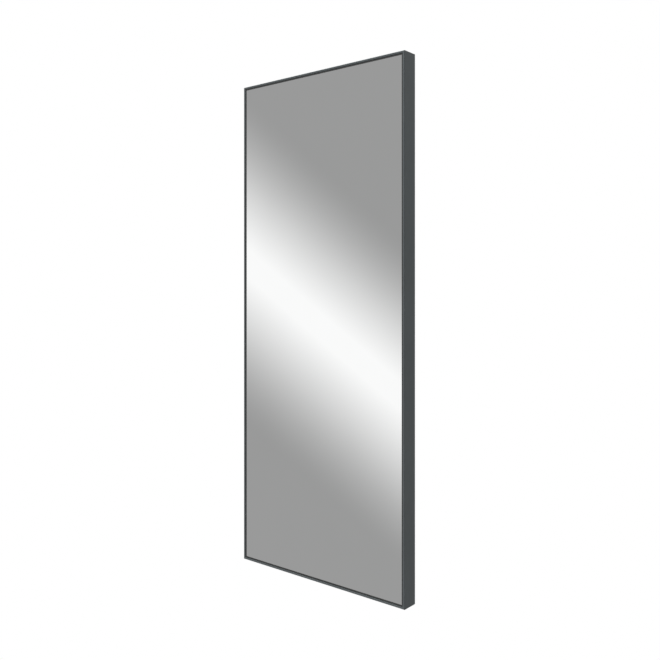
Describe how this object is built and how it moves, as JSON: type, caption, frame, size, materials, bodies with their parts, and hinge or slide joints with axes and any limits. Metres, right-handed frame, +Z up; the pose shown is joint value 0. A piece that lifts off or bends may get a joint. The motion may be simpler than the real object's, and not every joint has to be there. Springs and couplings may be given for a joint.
{
  "type": "pull-out wardrobe mirror",
  "caption": "Tall framed mirror on a sideways full-extension ball slide, with an upright pivot at its front end that turns the glass to face the user.",
  "frame": {"origin": "centre of the face that lies on the wardrobe's side panel, level with the middle of the mirror", "axes": "+X the way the mirror pulls out, -Y the way the glass faces at rest, +Z up"},
  "size_m": [0.41, 0.057, 1],
  "materials": {
    "anthracite_frame": "satin anthracite powder coat",
    "mirror_glass": "clear silvered glass",
    "gasket_rubber": "matt black glazing rubber",
    "backing_board": "brown hardboard, smooth side out",
    "aluminium": "mill finish",
    "zinc_steel": "bright zinc plate",
    "anthracite_bracket": "satin anthracite powder coat",
    "bright_steel": "ground and oiled",
    "polymer": "natural acetal",
    "black_rubber": "matt moulded rubber"
  },
  "bodies": {
    "wardrobe_side": {"mounting_plate": "zinc_steel", "outer_member": "zinc_steel", "rear_stop": "polymer", "slide_rivet_1": "zinc_steel", "slide_rivet_2": "zinc_steel", "slide_rivet_3": "zinc_steel", "slide_rivet_4": "zinc_steel"},
    "outer_balls": {"outer_ball_cage": "bright_steel"},
    "middle_slide": {"middle_member": "zinc_steel", "middle_bumper": "black_rubber"},
    "inner_balls": {"inner_ball_cage": "bright_steel"},
    "carriage": {"inner_member": "zinc_steel", "carriage_bracket": "anthracite_bracket", "rest_pad_upper": "black_rubber", "rest_pad_lower": "black_rubber", "pivot_pin": "bright_steel", "pivot_nut": "zinc_steel", "stop_pin": "bright_steel", "pivot_washer_upper": "zinc_steel", "pivot_washer_lower": "zinc_steel", "carriage_screw_upper_1": "zinc_steel", "carriage_screw_upper_2": "zinc_steel", "carriage_screw_lower_1": "zinc_steel", "carriage_screw_lower_2": "zinc_steel"},
    "mirror": {"stile_left": "anthracite_frame", "stile_right": "anthracite_frame", "rail_top": "anthracite_frame", "rail_bottom": "anthracite_frame", "glazing_gasket": "gasket_rubber", "mirror_glass": "mirror_glass", "backing_board": "backing_board", "cross_rail_upper": "aluminium", "cross_rail_lower": "aluminium", "hinge_plate": "anthracite_bracket", "pivot_bush_upper": "polymer", "pivot_bush_lower": "polymer", "corner_cleat_top_left": "aluminium", "corner_cleat_top_right": "aluminium", "corner_cleat_bottom_left": "aluminium", "corner_cleat_bottom_right": "aluminium", "rail_screw_upper_1": "zinc_steel", "rail_screw_upper_2": "zinc_steel", "rail_screw_lower_1": "zinc_steel", "rail_screw_lower_2": "zinc_steel", "hinge_screw_upper_1": "zinc_steel", "hinge_screw_upper_2": "zinc_steel", "hinge_screw_lower_1": "zinc_steel", "hinge_screw_lower_2": "zinc_steel"}
  },
  "joints": [
    {"name": "middle_slide_out", "type": "slide", "parent": "wardrobe_side", "child": "middle_slide", "axis": [1, 0, 0], "range_m": [0, 0.17]},
    {"name": "outer_balls_roll", "type": "slide", "parent": "wardrobe_side", "child": "outer_balls", "axis": [1, 0, 0], "range_m": [0, 0.085]},
    {"name": "carriage_out", "type": "slide", "parent": "middle_slide", "child": "carriage", "axis": [1, 0, 0], "range_m": [0, 0.17]},
    {"name": "inner_balls_roll", "type": "slide", "parent": "middle_slide", "child": "inner_balls", "axis": [1, 0, 0], "range_m": [0, 0.085]},
    {"name": "mirror_swing", "type": "hinge", "parent": "carriage", "child": "mirror", "pos_m": [0.18, -0.011, 0], "axis": [0, 0, 1], "range_deg": [0, 90]}
  ],
  "couplings": [
    {"joint": "outer_balls_roll", "follows": "middle_slide_out", "ratio": 0.5},
    {"joint": "carriage_out", "follows": "middle_slide_out", "ratio": 1},
    {"joint": "inner_balls_roll", "follows": "middle_slide_out", "ratio": 0.5}
  ]
}
